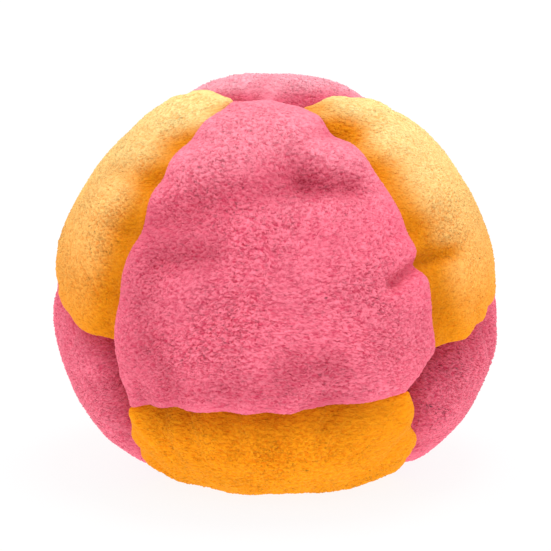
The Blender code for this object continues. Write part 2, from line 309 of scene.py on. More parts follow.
# Stitches that show, from the first corner of their seam: place, strength and reach shares
SEEN_PULL_SHARES = {
    ("front", "left"): (
        (0.05, 1.0, 0.8), (0.22, 1.3, 1.1), (0.40, 1.9, 1.4), (0.62, 1.0, 1.3), (0.85, 1.0, 1.2),
    ),
    ("front", "right"): (
        (0.02, 0.7, 0.7), (0.155, 3.4, 0.8), (0.35, 0.9, 1.2), (0.60, 1.1, 1.4), (0.72, 1.0, 1.8),
        (0.90, 0.85, 1.0),
    ),
    ("front", "base"): (
        (0.11, 1.8, 0.9), (0.285, 2.0, 1.0), (0.51, 1.3, 1.2), (0.665, 2.0, 1.0), (0.84, 2.2, 1.0),
    ),
    ("lower_left", "base"): (
        (0.075, 1.2, 0.9), (0.2, 1.3, 0.9), (0.36, 1.0, 1.0), (0.52, 1.1, 1.0), (0.68, 0.9, 1.0),
        (0.86, 1.0, 1.0),
    ),
    ("lower_right", "base"): (
        (0.15, 1.7, 1.0), (0.34, 1.2, 0.9), (0.52, 1.0, 1.0), (0.7, 1.1, 1.0), (0.88, 0.9, 1.0),
    ),
}


def linear(code):
    """An sRGB hex colour as the linear colour that the shaders take."""
    channels = (int(code[at : at + 2], 16) / 255.0 for at in (0, 2, 4))
    return tuple(c / 12.92 if c <= 0.04045 else ((c + 0.055) / 1.055) ** 2.4 for c in channels)


def length_property(name, description, millimetres):
    return bpy.props.FloatProperty(
        name=name, description=description, default=millimetres * MM, unit="LENGTH", precision=5
    )


def colour_property(name, description, code):
    return bpy.props.FloatVectorProperty(
        name=name,
        description=description,
        default=linear(code),
        subtype="COLOR",
        size=3,
        min=0.0,
        max=1.0,
    )


class FootbagSizes(bpy.types.PropertyGroup):
    """Sizes of the cloth and its nap."""

    ball_radius: length_property("Ball radius", "Radius of the settled ball at its middle", 26.9)
    centre_height: length_property("Centre height", "Ball's centre above the table", 23.0)
    table_blend: length_property("Table blend", "How softly the ball turns into the table", 2.1)
    suede: length_property("Suede thickness", "Thickness of the panels", 0.9)
    crown: length_property("Crown", "How far a panel's middle stands over its edges", 0.6)
    crown_reach: length_property("Crown reach", "How far from a seam the crown has risen", 4.0)
    tuck: length_property("Tuck", "How far a panel dips where it goes under another", 2.3)
    tuck_reach: length_property("Tuck reach", "How far from a seam that dip goes", 3.8)
    roll: length_property("Edge roll", "Radius of the rolled edges", 1.2)
    press: length_property("Edge press", "How far two rolled edges press into each other", 0.35)
    lap: length_property("Lap", "How far the upper panel's edge hangs over a seam", 0.5)
    allowance: length_property("Seam allowance", "How far a panel's edge turns in", 1.6)
    pucker: length_property("Pucker", "Depth of the dents at the stitches", 0.8)
    pucker_reach: length_property("Pucker reach", "Length of the dents at the stitches", 3.4)
    stitch_grip: length_property("Stitch grip", "Half-width of the cloth a stitch draws in", 2.0)
    slack: length_property("Slack", "How much lower the cloth lies before it is pressed out", 0.95)
    cloth_travel: length_property("Cloth travel", "How far the filling may push the cloth", 0.9)
    rumple: length_property("Rumple", "Height of the uneven swells of the cloth", 0.28)
    rumple_size: length_property("Rumple size", "Distance between the uneven swells", 7.0)
    thread_radius: length_property("Thread radius", "Radius of the sewing thread", 0.3)
    pellet_radius: length_property("Pellet radius", "Radius of the filling's pellets", 1.4)
    nap_width: length_property("Nap width", "Distance between the nap's matted ridges", 0.28)
    nap_height: length_property("Nap height", "Height of the nap's matted ridges", 0.2)


class FootbagColours(bpy.types.PropertyGroup):
    """Colours of the cloth, the thread and the pellets."""

    pink: colour_property("Pink suede", "Dye of the large panels", "FF7F96")
    # The nap roots' colours are painted shade: the nap is painted darker between its ridges
    pink_root: colour_property("Pink crevice shade", "Pink between the nap's ridges", "D23E5E")
    orange: colour_property("Orange suede", "Dye of the triangular panels", "FF9E10")
    orange_root: colour_property("Orange crevice shade", "Orange between the nap's ridges", "F28606")
    # Painted shade: sunk cloth in folds, seam valleys and rolled edges is painted these darker
    # colours
    pink_deep: colour_property("Pink fold shade", "Pink painted shade in folds and seam valleys", "A8183A")
    orange_deep: colour_property("Orange fold shade", "Orange painted shade in folds and seam valleys", "B06400")
    pink_tips: colour_property("Pink fibre tips", "Glow of the pink fibres' tips", "FFB8C0")
    orange_tips: colour_property("Orange fibre tips", "Glow of the orange fibres' tips", "FFCC68")
    # Painted highlight: the nap's upper parts are painted these paler colours, for light from
    # above
    pink_faded: colour_property("Pink painted highlight", "Pink painted paler on the upper parts", "FFADBB")
    orange_faded: colour_property("Orange painted highlight", "Orange painted paler on the upper parts", "FFE49C")
    thread: colour_property("Thread", "Waxed sewing thread", "B8475E")
    pellet: colour_property("Pellets", "Plastic pellets of the filling", "E4E2DA")
    pellet_cloud: colour_property("Pellet cloud", "Cloudy places of the pellets", "CFCCC0")


# Directions and points on the ball


def corner_direction(name):
    off_axis, around = (math.radians(angle) for angle in CORNERS[name])
    sideways = VIEW_RIGHT * math.cos(around) + VIEW_UP * math.sin(around)
    return VIEW_AXIS * math.cos(off_axis) + sideways * math.sin(off_axis)


def panel_middle(panel):
    corners = {end for seam in SEAMS if panel in seam[2:4] for end in seam[:2]}
    total = Vector((0.0, 0.0, 0.0))
    for corner in sorted(corners):
        total += corner_direction(corner)
    return total.normalized()


def seam_direction(seam, share):
    start_name, end_name, first_panel, second_panel, bow = seam
    start, end = corner_direction(start_name), corner_direction(end_name)
    across = start.cross(end).normalized()
    if across.dot(panel_middle(first_panel)) < 0.0:
        across = -across
    straight = (start + end).normalized()
    middle = straight * math.cos(math.radians(bow)) + across * math.sin(math.radians(bow))
    handle = 2.0 * middle - (start + end) / 2.0
    handle += (end - start) * BOW_LEAN_SHARES.get((first_panel, second_panel), 0.0)
    rest = 1.0 - share
    return (start * rest**2 + handle * (2.0 * share * rest) + end * share**2).normalized()


def seam_tangent(seam, share):
    ahead = seam_direction(seam, share + TANGENT_STEP)
    return (ahead - seam_direction(seam, share - TANGENT_STEP)).normalized()


def seam_inward(seam, share, middle):
    inward = seam_direction(seam, share).cross(seam_tangent(seam, share)).normalized()
    return inward if inward.dot(middle) > 0.0 else -inward


def seam_length(seam, sizes):
    ways = [seam_direction(seam, at / LENGTH_PIECES) for at in range(LENGTH_PIECES + 1)]
    return sum(way.angle(ahead) for way, ahead in zip(ways, ways[1:])) * sizes.ball_radius


def stitch_count(seam, sizes):
    return max(LEAST_STITCHES, round(seam_length(seam, sizes) / STITCH_PITCH))


def ball_radius(direction, lift, sizes):
    """From the ball's centre to its surface, pressed flat where it meets the table."""
    lean = -direction.z
    shape = 1.0 + SAG_SHARE * lean + SPREAD_SHARE * lean**2 + TAPER_SHARE * lean**3
    free = sizes.ball_radius * shape + lift
    if lean <= 0.0:
        return free
    table = sizes.centre_height / lean
    blend = max(sizes.table_blend - abs(free - table), 0.0) / sizes.table_blend
    return min(free, table) - blend**2 * sizes.table_blend / 4.0


def surface_point(direction, lift, depth, sizes):
    point = direction * (ball_radius(direction, lift, sizes) - depth)
    return point + Vector((0.0, 0.0, sizes.centre_height))


# A panel's outline, with the stitches that gather it


class Edge:
    """One seam of a panel, walked anticlockwise round the panel as seen from outside."""

    def __init__(self, seam, forward, panel, sizes):
        self.seam = seam
        self.forward = forward
        self.middle = panel_middle(panel)
        self.length = seam_length(seam, sizes)
        self.stitches = stitch_count(seam, sizes)
        other = seam[3] if panel == seam[2] else seam[2]
        self.upper = LAP_ORDER.index(panel) < LAP_ORDER.index(other)
        self.lap = LAPS.get(seam[2:4], Lap())
        self.trims = (0.0, 0.0)
        draw = random.Random("-".join(seam[:4]))
        drawn = [
            (
                (index + 0.5 + draw.uniform(-STITCH_DRIFT, STITCH_DRIFT)) / self.stitches,
                draw.uniform(*PULL_STRENGTHS),
                draw.uniform(*PULL_REACHES),
            )
            for index in range(self.stitches)
        ]
        self.pulls = SEEN_PULL_SHARES.get(seam[2:4], drawn)

    def share(self, walked):
        return walked if self.forward else 1.0 - walked

    def tucked(self, share):
        """How far the lower edge dips here, as a share of the tuck."""
        lap = self.lap
        return lap.tuck_share * (1.0 - share) ** lap.fade_to_second * share**lap.fade_to_first

    def allowance_depth(self, walked, sizes):
        """How deep the turned-in edge reaches: the upper one goes down to the tucked one."""
        below = sizes.tuck * self.tucked(self.share(walked)) if self.upper else 0.0
        return sizes.roll + sizes.allowance + below

    def direction(self, walked):
        return seam_direction(self.seam, self.share(walked))

    def inward(self, walked):
        return seam_inward(self.seam, self.share(walked), self.middle)

    def leaving(self, walked):
        tangent = seam_tangent(self.seam, self.share(walked))
        return tangent if self.forward else -tangent

    def inset(self, walked, offset):
        """The direction at an offset into the panel, trimmed at both corners to a mitre."""
        start, end = (trim * offset / self.length for trim in self.trims)
        kept = start + walked * (1.0 - start - end)
        return self.direction(kept), self.inward(kept)

    def pull(self, walked, grip):
        """How hard the stitches draw the cloth in here, from 0 to about 1, and how far."""
        strongest, reach = 0.0, 1.0
        for place, strength, length in self.pulls:
            away = (self.share(walked) - place) * self.length / grip
            drawn = strength * math.exp(-(away**2))
            if drawn > strongest:
                strongest, reach = drawn, length
        return strongest, reach


def sampled(edge, sizes):
    """Directions along an edge, and how hard and how far its stitches draw the cloth there."""
    places = [at / EDGE_SAMPLES for at in range(EDGE_SAMPLES + 1)]
    directions = np.array([edge.direction(at) for at in places])
    pulls = np.array([edge.pull(at, sizes.stitch_grip) for at in places])
    shares = np.array([edge.share(at) for at in places])
    return directions, pulls[:, 0], pulls[:, 1], shares


def panel_edges(panel, sizes):
    """The panel's edges in order, with the cotangents of their half corners as trims."""
    left = [seam for seam in SEAMS if panel in seam[2:4]]
    middle = panel_middle(panel)
    first = left.pop(0)
    start, end = corner_direction(first[0]), corner_direction(first[1])
    forward = start.cross(end).dot(middle) > 0.0
    edges = [Edge(first, forward, panel, sizes)]
    corner = first[1] if forward else first[0]
    while left:
        following = next(seam for seam in left if corner in seam[:2])
        left.remove(following)
        forward = following[0] == corner
        edges.append(Edge(following, forward, panel, sizes))
        corner = following[1] if forward else following[0]
    half_cotangents = []
    for index, edge in enumerate(edges):
        before = edges[index - 1]
        opening = (-before.leaving(1.0)).angle(edge.leaving(0.0))
        half_cotangents.append(1.0 / math.tan(opening / 2.0))
    for index, edge in enumerate(edges):
        edge.trims = (half_cotangents[index], half_cotangents[(index + 1) % len(edges)])
        edge.samples = sampled(edge, sizes)
    return edges


def outline_columns(edges):
    """Places round the outline, as (edge, share walked along it, edge before it at a corner)."""
    columns = []
    for index, edge in enumerate(edges):
        steps = edge.stitches * COLUMNS_PER_STITCH
        for step in range(steps):
            before = edges[index - 1] if step == 0 else None
            columns.append((edge, step / steps, before))
    return columns


def inset_point(column, offset, lift, depth, sizes):
    """A point of the ball at an offset from the panel's outline, and its direction."""
    edge, walked, before = column
    ways = [edge.inset(walked, offset)]
    if before:
        ways.append(before.inset(1.0, offset))
    turned = Vector((0.0, 0.0, 0.0))
    for direction, inward in ways:
        turned += (direction + inward * (offset / (sizes.ball_radius - depth))).normalized()
    turned.normalize()
    return surface_point(turned, lift, depth, sizes), turned


# The cloth of one panel


def stroke_depth(panel, directions):
    """How deep the hollows that handling has left are in these directions."""
    seen = np.stack([directions @ np.array(VIEW_RIGHT), directions @ np.array(VIEW_UP)], axis=1)
    depth = np.zeros(len(directions))
    for owner, start, end, width, deep in HOLLOW_SHARES:
        if owner != panel:
            continue
        start, end = np.array(start), np.array(end)
        along = end - start
        share = np.clip((seen - start) @ along / (along @ along), 0.0, 1.0)
        away = np.linalg.norm(seen - start - share[:, None] * along, axis=1) / width
        depth += deep * np.exp(-(away**2))
    return depth


def face_lifts(panel, edges, directions, sizes):
    """How far the cloth stands over the plain ball in these directions, and how sunk it is."""
    directions = np.array(directions)
    start = sizes.roll - sizes.press
    fullness, _ = FULL_AND_HIGHLIGHT[panel]
    crown = np.full(len(directions), sizes.crown * fullness - sizes.slack)
    dips = np.zeros(len(directions))
    for edge in edges:
        samples, pulls, reaches, shares = edge.samples
        closeness = directions @ samples.T
        nearest = closeness.argmax(axis=1)
        angle = np.arccos(np.minimum(closeness.max(axis=1), 1.0))
        away = np.maximum(angle * sizes.ball_radius - start, 0.0)
        crown *= 1.0 - np.exp(-away / sizes.crown_reach)
        pucker = sizes.pucker * (UPPER_PUCKER_SHARE if edge.upper else 1.0)
        drawn = np.exp(-away / (sizes.pucker_reach * reaches[nearest]))
        dips += pucker * pulls[nearest] * drawn
        if not edge.upper:
            width = sizes.tuck_reach * edge.lap.width_share
            near = np.exp(-((away / width) ** 2))
            dips += sizes.tuck * edge.tucked(shares[nearest]) * near
    shift = Vector((LAP_ORDER.index(panel) * RUMPLE_SHIFT, 0.0, 0.0))
    scale = sizes.ball_radius / sizes.rumple_size
    swells = np.array([noise.noise(Vector(way) * scale + shift) for way in directions])
    dips += stroke_depth(panel, directions)
    return crown - dips + sizes.rumple * swells, np.maximum(dips, 0.0)


def lap_offset(column, sizes):
    """How far the line where two rolled edges press together lies off the seam."""
    edge, walked, before = column
    pull, _ = edge.pull(walked, sizes.stitch_grip)
    loose = CORNER_LAP_SHARE if before else 1.0 - LAP_PULL_SHARE * pull
    reached = sizes.lap * loose * edge.lap.lap_share
    if edge.upper:
        return -reached
    under = min(edge.tucked(edge.share(walked)), 1.0) * max(reached, 0.0)
    return reached - under + SEAM_GAP / 4.0


def edge_directions(columns, sizes):
    """Where the face of the panel ends and its rolled edge starts, in each column."""
    start = sizes.roll - sizes.press + SEAM_GAP / 2.0
    return [
        inset_point(column, start + lap_offset(column, sizes), 0.0, 0.0, sizes)[1]
        for column in columns
    ]


def roll_point(column, lift, turn, sizes):
    """A point of the rolled edge, which lies flat against its neighbour's once it meets it."""
    start = sizes.roll - sizes.press + SEAM_GAP / 2.0
    rounded = max(start - sizes.roll * math.sin(turn), SEAM_GAP / 2.0)
    offset = rounded + lap_offset(column, sizes) * math.cos(turn) ** 0.5
    depth = sizes.roll * (1.0 - math.cos(turn))
    point, _ = inset_point(column, offset, lift, depth, sizes)
    return point


def wrapped_sheet(mesh, rows):
    """Joins rings of points into a closed sheet, with their calm nap, hold and sunk places."""
    layers = [mesh.verts.layers.float.new(name) for name in ("calm", "held", "sunk")]
    rings = []
    for points, calmness, hold, depths in rows:
        placed = {}
        ring = []
        for point, sunk in zip(points, depths):
            key = tuple(round(value, WELD_DIGITS) for value in point)
            if key not in placed:
                placed[key] = mesh.verts.new(point)
                for layer, mark in zip(layers, (calmness, hold, sunk)):
                    placed[key][layer] = mark
            ring.append(placed[key])
        rings.append(ring)
    for inner, outer in zip(rings, rings[1:]):
        for at in range(len(inner)):
            following = (at + 1) % len(inner)
            corners = [inner[at], outer[at], outer[following], inner[following]]
            unique = list(dict.fromkeys(corners))
            if len(unique) > 2:
                mesh.faces.new(unique)


def column_merge(share):
    """How many neighbouring columns join into one at a share of the way outwards."""
    return next((merge for limit, merge in COLUMN_MERGES if share < limit), 1)


def panel_cage(panel, sizes):
    """The outer skin of a panel as a coarse sheet: face, rolled edge and seam allowance."""
    edges = panel_edges(panel, sizes)
    middle = panel_middle(panel)
    columns = outline_columns(edges)
    reach = sum(middle.angle(edge.direction(0.5)) for edge in edges) / len(edges)
    count = round(reach * sizes.ball_radius / FACE_RING_STEP)
    ends = edge_directions(columns, sizes)

    def face_ring(share, merge, depth):
        places = range(0, len(columns), merge)
        directions = [middle.slerp(ends[at], share) for at in places]
        lifts, dips = face_lifts(panel, edges, directions, sizes)
        points = [surface_point(*pair, depth, sizes) for pair in zip(directions, lifts)]
        # Sunk cloth is painted darker by the suede, as painted shade in folds and seam valleys
        sunk = 1.0 - np.exp(-dips / SUNK_DIP)
        spread = [at // merge for at in range(len(columns))]
        return [points[at] for at in spread], [sunk[at] for at in spread]

    rows = []
    for ring in range(count):
        share = ring / count
        merge = len(columns) if ring == 0 else column_merge(share)
        calmness = math.exp(-(count - ring) / CALM_RINGS)
        points, sunk = face_ring(share, merge, 0.0)
        rows.append((points, calmness, 0.0, sunk))
    lifts, dips = face_lifts(panel, edges, ends, sizes)
    pairs = list(zip(columns, lifts))
    edge_sunk = 1.0 - np.exp(-dips / SUNK_DIP)
    depths = [edge.allowance_depth(walked, sizes) for edge, walked, _ in columns]
    # Rolled edges, allowances and backs count as fully sunk, and get the full painted shade
    deep = [1.0] * len(columns)
    for step in range(ROLL_TURNS + 1):
        turn = math.pi / 2.0 * step / ROLL_TURNS
        rows.append(([roll_point(*pair, turn, sizes) for pair in pairs], 1.0, 1.0, edge_sunk))
    for offset in (SEAM_GAP / 2.0, SEAM_GAP / 2.0 + sizes.suede):
        turned_in = [
            inset_point(column, offset, lift, deepest, sizes)[0]
            for (column, lift), deepest in zip(pairs, depths)
        ]
        rows.append((turned_in, 1.0, 1.0, deep))
    for ring in range(BACK_RINGS, -1, -1):
        share = ring / BACK_RINGS * BACK_REACH_SHARE
        merge = len(columns) if ring == 0 else BACK_MERGE
        rows.append((face_ring(share, merge, sizes.suede)[0], 1.0, 1.0, deep))
    mesh = bmesh.new()
    wrapped_sheet(mesh, rows)
    return mesh


def plain_object(name, mesh):
    data = bpy.data.meshes.new(name)
    mesh.to_mesh(data)
    mesh.free()
    made = bpy.data.objects.new(name, data)
    bpy.context.scene.collection.objects.link(made)
    return made


def make_plain(piece):
    """Makes what the piece's modifiers give its own plain mesh."""
    evaluated = piece.evaluated_get(bpy.context.evaluated_depsgraph_get())
    result = bpy.data.meshes.new_from_object(evaluated)
    old = piece.data
    piece.modifiers.clear()
    piece.data = result
    result.name = piece.name
    bpy.data.meshes.remove(old)


def press_on_table(piece):
    """Flattens the cloth and nap that would reach below the table."""
    for vertex in piece.data.vertices:
        vertex.co.z = max(vertex.co.z, 0.0)


def blown_up(piece, sizes):
    """Lets the filling press the cloth out between its seams, by a cloth simulation."""
    held = piece.vertex_groups.new(name="held")
    for vertex, hold in zip(piece.data.vertices, piece.data.attributes["held"].data):
        held.add([vertex.index], hold.value, "REPLACE")
    before = [vertex.co.copy() for vertex in piece.data.vertices]
    piece.data.transform(Matrix.Scale(CLOTH_SCALE, 4))
    modifier = piece.modifiers.new("cloth", "CLOTH")
    for name, value in CLOTH_SETTINGS.items():
        setattr(modifier.settings, name, value)
    modifier.settings.effector_weights.gravity = 0.0
    modifier.collision_settings.use_collision = False
    modifier.point_cache.frame_start = 1
    modifier.point_cache.frame_end = CLOTH_FRAMES
    scene = bpy.context.scene
    for frame_number in range(1, CLOTH_FRAMES + 1):
        scene.frame_set(frame_number)
    make_plain(piece)
    scene.frame_set(1)
    piece.data.transform(Matrix.Scale(1.0 / CLOTH_SCALE, 4))
    piece.vertex_groups.clear()
    for vertex, start in zip(piece.data.vertices, before):
        moved = vertex.co - start
        if moved.length > sizes.cloth_travel:
            moved *= sizes.cloth_travel / moved.length
        vertex.co = start + moved
    press_on_table(piece)


# Node helpers


def add_node(tree, kind, settings=None, inputs=None):
    """A node with its settings, and its inputs set to values or linked to sockets or nodes."""
    node = tree.nodes.new(kind)
    for name, value in (settings or {}).items():
        setattr(node, name, value)
    for key, value in (inputs or {}).items():
        if isinstance(value, bpy.types.Node):
            value = next(output for output in value.outputs if output.enabled)
        if isinstance(value, bpy.types.NodeSocket):
            tree.links.new(value, node.inputs[key])
        else:
            node.inputs[key].default_value = value
    return node


def emptied_tree(owner):
    """The node tree of a material or a world, with nothing in it yet."""
    owner.use_nodes = True
    owner.node_tree.nodes.clear()
    return owner.node_tree


def geometry_tree(name, input_names):
    """A Geometry Nodes tree with named inputs for its sizes, and the sockets that give them."""
    tree = bpy.data.node_groups.new(name, "GeometryNodeTree")
    tree.is_modifier = True
    sockets = tree.interface
    sockets.new_socket("Geometry", in_out="INPUT", socket_type="NodeSocketGeometry")
    for input_name in input_names:
        sockets.new_socket(input_name, in_out="INPUT", socket_type="NodeSocketFloat")
    sockets.new_socket("Geometry", in_out="OUTPUT", socket_type="NodeSocketGeometry")
    return tree, add_node(tree, "NodeGroupInput").outputs


def end_tree(tree, geometry, material):
    """Ends a Geometry Nodes tree in a smooth, real mesh of one material."""
    for kind, extra in (
        ("GeometryNodeSetShadeSmooth", {}),
        ("GeometryNodeRealizeInstances", {}),
        ("GeometryNodeSetMaterial", {"Material": material}),
        ("NodeGroupOutput", {}),
    ):
        geometry = add_node(tree, kind, None, {"Geometry": geometry, **extra})
    return tree


def add_tree_modifier(piece, tree, values):
    """Puts a Geometry Nodes tree on a piece, with its inputs set by their names."""
    modifier = piece.modifiers.new(tree.name, "NODES")
    modifier.node_group = tree
    for item in tree.interface.items_tree:
        if item.in_out == "INPUT" and item.name in values:
            modifier[item.identifier] = float(values[item.name])


def nap_tree(material):
    """Raises the nap: matted curls of fibre along the level lines of a warped noise."""
    tree, given = geometry_tree("matted_nap", ("Ridge distance", "Ridge height", "Seed"))
    place = add_node(tree, "GeometryNodeInputPosition")
    density = add_node(tree, MATH, {"operation": "DIVIDE"}, {0: 1.0, 1: given["Ridge distance"]})
    scaled = add_node(tree, VECTORS, {"operation": "SCALE"}, {0: place, "Scale": density})
    made = {"scaled": scaled, "place": place, "ridge_height": given["Ridge height"]}
    made["calm"] = add_node(
        tree, "GeometryNodeInputNamedAttribute", {"data_type": "FLOAT"}, {"Name": "calm"}
    )
    # Each noise: what it is for, where it is read, its scale, its detail and its seed
    for name, where, scale, detail, shift in (
        ("stir", "scaled", 0.7, 0.0, 3.1),
        ("lumps", "combed", 1.0, 0.0, 11.0),
        ("curls", "combed", 0.7, 0.0, 29.0),
        ("creases", "combed", 0.9, 0.0, 53.0),
        ("patches", "place", ROUGH_PATCHES_PER_METRE, 1.0, 47.0),
    ):
        seed = add_node(tree, MATH, {"operation": "ADD"}, {0: given["Seed"], 1: shift})
        inputs = {"Vector": made[where], "W": seed, "Scale": scale, "Detail": detail}
        made[name] = add_node(tree, NOISE, {"noise_dimensions": "4D"}, inputs)
        if name == "stir":
            inputs = {0: made[name].outputs["Color"], 1: NAP_STIR, 2: scaled}
            stirred = add_node(tree, VECTORS, {"operation": "MULTIPLY_ADD"}, inputs)
            inputs = {0: stirred, 1: NAP_COMB}
            made["combed"] = add_node(tree, VECTORS, {"operation": "MULTIPLY"}, inputs)
    # Each step: what it makes, its operation, and the steps or numbers that it takes
    for name, operation, *taken in (
        ("lumps", "SUBTRACT", "lumps", 0.5),
        ("lumps", "MULTIPLY", "lumps", LUMP_STEEPNESS),
        ("lumps", "MINIMUM", "lumps", 1.0),
        ("lumps", "MAXIMUM", "lumps", -1.0),
        ("curls", "SUBTRACT", "curls", 0.5),
        ("curls", "ABSOLUTE", "curls"),
        ("curls", "MULTIPLY", "curls", CURL_STEEPNESS),
        ("curls", "MINIMUM", "curls", 1.0),
        ("curls", "SUBTRACT", 1.0, "curls"),
        ("curls", "MULTIPLY", "curls", CURL_SHARE),
        ("creases", "SUBTRACT", "creases", 0.5),
        ("creases", "ABSOLUTE", "creases"),
        ("creases", "MULTIPLY", "creases", CREASE_STEEPNESS),
        ("creases", "MINIMUM", "creases", 1.0),
        ("creases", "SUBTRACT", 1.0, "creases"),
        ("matted", "MULTIPLY_ADD", "lumps", LUMP_SHARE, "curls"),
        ("matted", "MULTIPLY_ADD", "creases", CREASE_SHARE, "matted"),
        ("rough", "MULTIPLY_ADD", "patches", ROUGH_CONTRAST, ROUGH_OFFSET),
        ("rough", "MAXIMUM", "rough", LEAST_ROUGH),
        ("calmed", "MULTIPLY", "calm", CALM_SHARE),
        ("kept", "SUBTRACT", 1.0, "calmed"),
        ("kept", "MULTIPLY", "rough", "kept"),
        ("height", "MULTIPLY", "matted", "kept"),
        ("lift", "MULTIPLY", "height", "ridge_height"),
    ):
        inputs = {at: made.get(value, value) for at, value in enumerate(taken)}
        made[name] = add_node(tree, MATH, {"operation": operation}, inputs)
    stored = add_node(
        tree,
        "GeometryNodeStoreNamedAttribute",
        {"data_type": "FLOAT", "domain": "POINT"},
        {"Geometry": given["Geometry"], "Name": "nap", "Value": made["height"]},
    )
    normal = add_node(tree, "GeometryNodeInputNormal")
    offset = add_node(tree, VECTORS, {"operation": "SCALE"}, {0: normal, "Scale": made["lift"]})
    moved = add_node(tree, "GeometryNodeSetPosition", None, {"Geometry": stored, "Offset": offset})
    return end_tree(tree, moved, material)


# Materials


def suede_material(dye, colours, highlight_from):
    """Synthetic suede: a brushed, matted knit. Fibre tips catch the light through the sheen; the
    colour is painted darker between the nap's ridges and in folds (painted shade), and paler
    towards the top (painted highlight).
    """
    nap, root, deep, tips, highlight_colour = (
        (*getattr(colours, f"{dye}{part}"), 1.0)
        for part in ("", "_root", "_deep", "_tips", "_faded")
    )
    material = bpy.data.materials.new(f"{dye}_brushed_suede")
    tree = emptied_tree(material)
    place = add_node(tree, "ShaderNodeTexCoord").outputs["Object"]
    height = add_node(tree, "ShaderNodeSeparateXYZ", None, {0: place}).outputs["Z"]
    sunk, most_highlight, curls = (
        add_node(tree, "ShaderNodeAttribute", {"attribute_name": name}).outputs["Fac"]
        for name in ("sunk", "highlight_mask", "nap")
    )
    patches = add_node(
        tree, NOISE, None, {"Vector": place, "Scale": DYE_PATCHES_PER_METRE, "Detail": 3.0}
    )
    combed = add_node(tree, "ShaderNodeMapping", None, {"Vector": place, "Scale": FIBRE_COMB})
    fibres = add_node(
        tree,
        NOISE,
        None,
        {"Vector": combed, "Scale": 1.0 / FIBRE_SPACING, "Detail": 1.0, "Distortion": 1.3},
    )
    # What each range gives: where the painted highlight may go, which is not where the cloth is
    # sunk, how far its ridges and its fibres stand out of the painted shade between them, how
    # bright its patches are, and how strong the painted highlight is towards the top
    highlight_mask, coarse, fine, bright, upwards = (
        add_node(
            tree,
            RANGE,
            {"interpolation_type": kind},
            {"Value": value, "From Min": low, "From Max": high, "To Min": least, "To Max": most},
        )
        for kind, value, (low, high), (least, most) in (
            ("SMOOTHSTEP", sunk, (0.0, UNHIGHLIT_SUNK_SHARE), (most_highlight, 0.0)),
            ("SMOOTHSTEP", curls, RIDGE_RANGE, (0.0, RIDGE_SHARE)),
            ("SMOOTHSTEP", fibres, FIBRE_RANGE, (0.0, FIBRE_SHARE)),
            ("LINEAR", patches, PATCH_RANGE, PATCH_BRIGHTNESS),
            ("LINEAR", height, (highlight_from, HIGHLIGHT_TOP), (0.0, HIGHLIGHT_SHARE)),
        )
    )
    # The colour rises from the painted shade between the ridges to the dye on them
    lift = add_node(tree, MATH, {"operation": "ADD"}, {0: coarse, 1: fine})
    # Painted highlight: paler nap high up, away from sunk places
    highlighting = add_node(tree, MATH, {"operation": "MULTIPLY"}, {0: highlight_mask, 1: upwards})
    # Painted shade: sunk places in folds and seam valleys are painted darker
    fold_shading = add_node(tree, MATH, {"operation": "MULTIPLY"}, {0: sunk, 1: FOLD_SHADE_SHARE})
    root_highlighting = add_node(tree, MATH, {"operation": "MULTIPLY"}, {0: highlighting, 1: ROOT_HIGHLIGHT_SHARE})
    mixed = {"bright": bright}
    # Mixes: dye and crevice shade paled by the painted highlight, the painted crevice shade, the
    # folds' painted shade, then the patches' tone
    for name, factor, first, second, blend in (
        ("nap", highlighting, nap, highlight_colour, "MIX"),
        ("root", root_highlighting, root, highlight_colour, "MIX"),
        ("suede", lift, "root", "nap", "MIX"),
        ("suede", fold_shading, "suede", deep, "MIX"),
        ("suede", 1.0, "suede", "bright", "MULTIPLY"),
    ):
        inputs = {"Factor": factor, "A": mixed.get(first, first), "B": mixed.get(second, second)}
        mixed[name] = add_node(
            tree, "ShaderNodeMix", {"data_type": "RGBA", "blend_type": blend}, inputs
        )
    bump = add_node(
        tree, "ShaderNodeBump", None, {"Strength": 1.0, "Distance": FIBRE_BUMP, "Height": fibres}
    )
    shader = add_node(
        tree,
        "ShaderNodeBsdfPrincipled",
        None,
        {
            "Base Color": mixed["suede"],
            "Roughness": 0.95,
            "Specular IOR Level": 0.15,
            "Sheen Weight": 0.25,
            "Sheen Roughness": 0.35,
            "Sheen Tint": tips,
            "Normal": bump,
        },
    )
    add_node(tree, "ShaderNodeOutputMaterial", None, {"Surface": shader})
    return material


def mottled_material(name, colour, mottle, spacing, roughness):
    """A fairly smooth surface whose colour and height drift a little from place to place."""
    material = bpy.data.materials.new(name)
    tree = emptied_tree(material)
    place = add_node(tree, "ShaderNodeTexCoord").outputs["Object"]
    drift = add_node(tree, NOISE, None, {"Vector": place, "Scale": 1.0 / spacing, "Detail": 3.0})
    mixed = add_node(
        tree,
        "ShaderNodeMix",
        {"data_type": "RGBA"},
        {"Factor": drift, "A": (*colour, 1.0), "B": (*mottle, 1.0)},
    )
    bump = add_node(
        tree, "ShaderNodeBump", None, {"Strength": 0.5, "Distance": 0.02 * MM, "Height": drift}
    )
    shader = add_node(
        tree,
        "ShaderNodeBsdfPrincipled",
        None,
        {"Base Color": mixed, "Roughness": roughness, "Normal": bump},
    )
    add_node(tree, "ShaderNodeOutputMaterial", None, {"Surface": shader})
    return material


# The pieces


